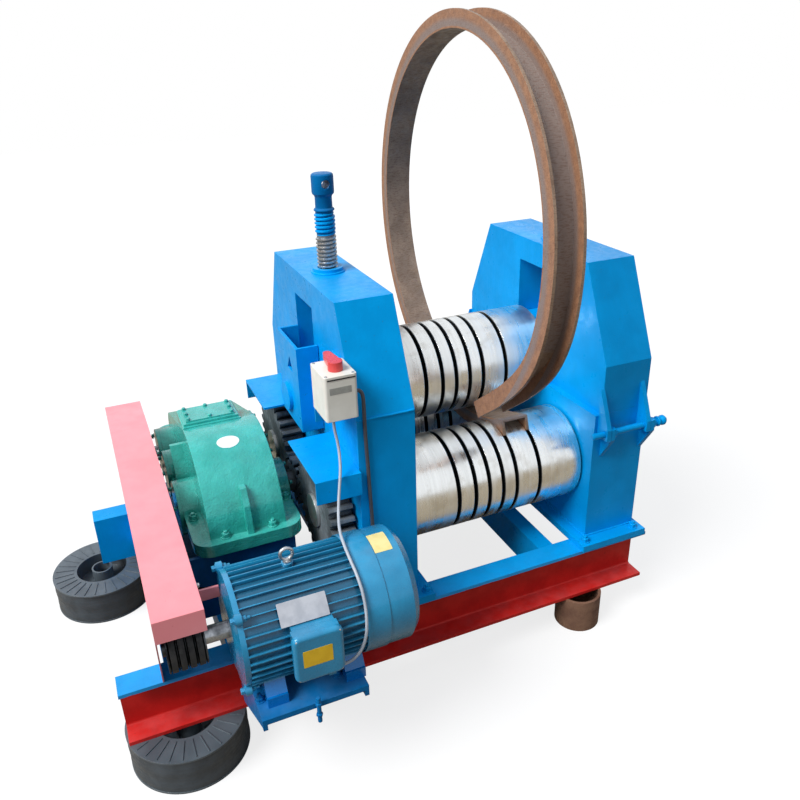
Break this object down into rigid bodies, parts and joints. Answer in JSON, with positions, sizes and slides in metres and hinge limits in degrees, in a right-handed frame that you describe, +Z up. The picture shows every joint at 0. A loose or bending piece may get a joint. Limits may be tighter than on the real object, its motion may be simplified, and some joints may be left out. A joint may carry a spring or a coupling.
{
  "type": "section bending machine",
  "caption": "Section bending machine with geared lower rollers, a screw-pressed upper roller, belt-driven reducer and electric motor on a steel base frame.",
  "frame": {"origin": "middle of the footprint, without the two leads, on the floor", "axes": "+Z up, X along the base frame and the rollers with the reducer and belt guard at -X, Y across the frame with the motor and the switch at -Y"},
  "size_m": [1.667, 1.231, 1.6607],
  "materials": {
    "blue_enamel": "gloss",
    "pink_enamel": "satin",
    "green_enamel": "gloss",
    "motor_enamel": "satin",
    "black_plastic": "moulded",
    "rusty_pipe": "rusted",
    "mill_scale": "mill scale",
    "roller_steel": "turned",
    "machined_steel": "machined",
    "grey_iron": "machined",
    "belt_rubber": "matte",
    "ivory_plastic": "moulded",
    "red_plastic": "moulded",
    "grey_sheath": "matte",
    "dark_sheath": "matte"
  },
  "bodies": {
    "frame": {"front_beam": "blue_enamel", "rear_beam": "blue_enamel", "cross_member_left_end": "blue_enamel", "cross_member_reducer_left": "blue_enamel", "cross_member_reducer_right": "blue_enamel", "cross_member_left_stand": "blue_enamel", "cross_member_rollers": "blue_enamel", "cross_member_right_stand": "blue_enamel", "left_stand": "blue_enamel", "right_stand_lower": "blue_enamel", "right_stand_upper": "blue_enamel", "front_gear_hood": "blue_enamel", "rear_gear_hood": "blue_enamel", "motor_base": "blue_enamel", "switch_bracket": "blue_enamel", "reducer_pedestal": "blue_enamel", "belt_guard": "pink_enamel", "reducer_cover": "green_enamel", "reducer_base": "green_enamel", "reducer_caps_left": "green_enamel", "reducer_caps_right": "green_enamel", "inspection_lid": "green_enamel", "motor_stator": "motor_enamel", "motor_drive_shield": "motor_enamel", "motor_fan_shield": "motor_enamel", "motor_cowl": "motor_enamel", "terminal_box": "motor_enamel", "terminal_box_lid": "motor_enamel", "front_left_reel": "black_plastic", "rear_left_reel": "black_plastic", "front_right_foot": "rusty_pipe", "rear_right_foot": "rusty_pipe", "bent_bar": "mill_scale", "motor_eye_bolt": "machined_steel", "drive_belts": "belt_rubber", "switch_box": "ivory_plastic", "switch_lid": "ivory_plastic", "motor_cable": "grey_sheath", "supply_cable": "dark_sheath", "supply_cable_coil": "dark_sheath"},
    "front_roller": {"front_lower_roller": "roller_steel", "front_roller_gear": "machined_steel"},
    "rear_roller": {"rear_lower_roller": "roller_steel", "rear_roller_gear": "machined_steel"},
    "output_shaft": {"pinion_shaft": "machined_steel"},
    "driven_pulley": {"big_pulley": "grey_iron", "input_shaft": "machined_steel"},
    "motor_spindle": {"motor_rotor": "machined_steel", "motor_fan": "black_plastic", "small_pulley": "grey_iron"},
    "carriage": {"left_block": "blue_enamel", "right_block": "blue_enamel", "journal_guard": "blue_enamel"},
    "upper_roller": {"upper_roller": "roller_steel"},
    "left_screw": {"left_screw": "machined_steel"},
    "right_screw": {"right_screw": "machined_steel"},
    "switch_handle": {"switch_handle": "red_plastic"},
    "front_lock_pin": {"front_lock_pin": "blue_enamel"},
    "rear_lock_pin": {"rear_lock_pin": "blue_enamel"}
  },
  "joints": [
    {"name": "front_roller_spin", "type": "hinge", "parent": "frame", "child": "front_roller", "pos_m": [0.3675, -0.1365, 0.487], "axis": [1, 0, 0], "continuous": true},
    {"name": "rear_roller_spin", "type": "hinge", "parent": "frame", "child": "rear_roller", "pos_m": [0.3675, 0.2615, 0.487], "axis": [1, 0, 0], "continuous": true},
    {"name": "output_shaft_spin", "type": "hinge", "parent": "frame", "child": "output_shaft", "pos_m": [-0.1825, 0.0625, 0.467], "axis": [1, 0, 0], "continuous": true},
    {"name": "driven_pulley_spin", "type": "hinge", "parent": "frame", "child": "driven_pulley", "pos_m": [-0.4825, 0.4125, 0.467], "axis": [1, 0, 0], "continuous": true},
    {"name": "motor_spin", "type": "hinge", "parent": "frame", "child": "motor_spindle", "pos_m": [-0.3825, -0.4465, 0.452], "axis": [1, 0, 0], "continuous": true},
    {"name": "press_slide", "type": "slide", "parent": "frame", "child": "carriage", "axis": [0, 0, 1], "range_m": [0, 0.06]},
    {"name": "upper_roller_spin", "type": "hinge", "parent": "carriage", "child": "upper_roller", "pos_m": [0.3675, 0.0625, 0.733], "axis": [1, 0, 0], "continuous": true},
    {"name": "left_screw_turn", "type": "hinge", "parent": "carriage", "child": "left_screw", "pos_m": [0.015, 0.0625, 1.05], "axis": [0, 0, 1], "range_deg": [-1, 2161]},
    {"name": "right_screw_turn", "type": "hinge", "parent": "carriage", "child": "right_screw", "pos_m": [0.711, 0.0625, 1.05], "axis": [0, 0, 1], "range_deg": [-1, 2161]},
    {"name": "switch_turn", "type": "hinge", "parent": "frame", "child": "switch_handle", "pos_m": [-0.0985, -0.2975, 0.95], "axis": [0, 0, 1], "range_deg": [-60, 60]},
    {"name": "front_lock_pin_slide", "type": "slide", "parent": "frame", "child": "front_lock_pin", "axis": [1, 0, 0], "range_m": [0, 0.2]},
    {"name": "rear_lock_pin_slide", "type": "slide", "parent": "frame", "child": "rear_lock_pin", "axis": [1, 0, 0], "range_m": [0, 0.2]}
  ],
  "couplings": [
    {"joint": "rear_roller_spin", "follows": "front_roller_spin", "ratio": 1},
    {"joint": "output_shaft_spin", "follows": "front_roller_spin", "ratio": -2.3333},
    {"joint": "motor_spin", "follows": "driven_pulley_spin", "ratio": 1.4286},
    {"joint": "left_screw_turn", "follows": "press_slide", "rad_per_m": 628.32},
    {"joint": "right_screw_turn", "follows": "press_slide", "rad_per_m": 628.32}
  ]
}
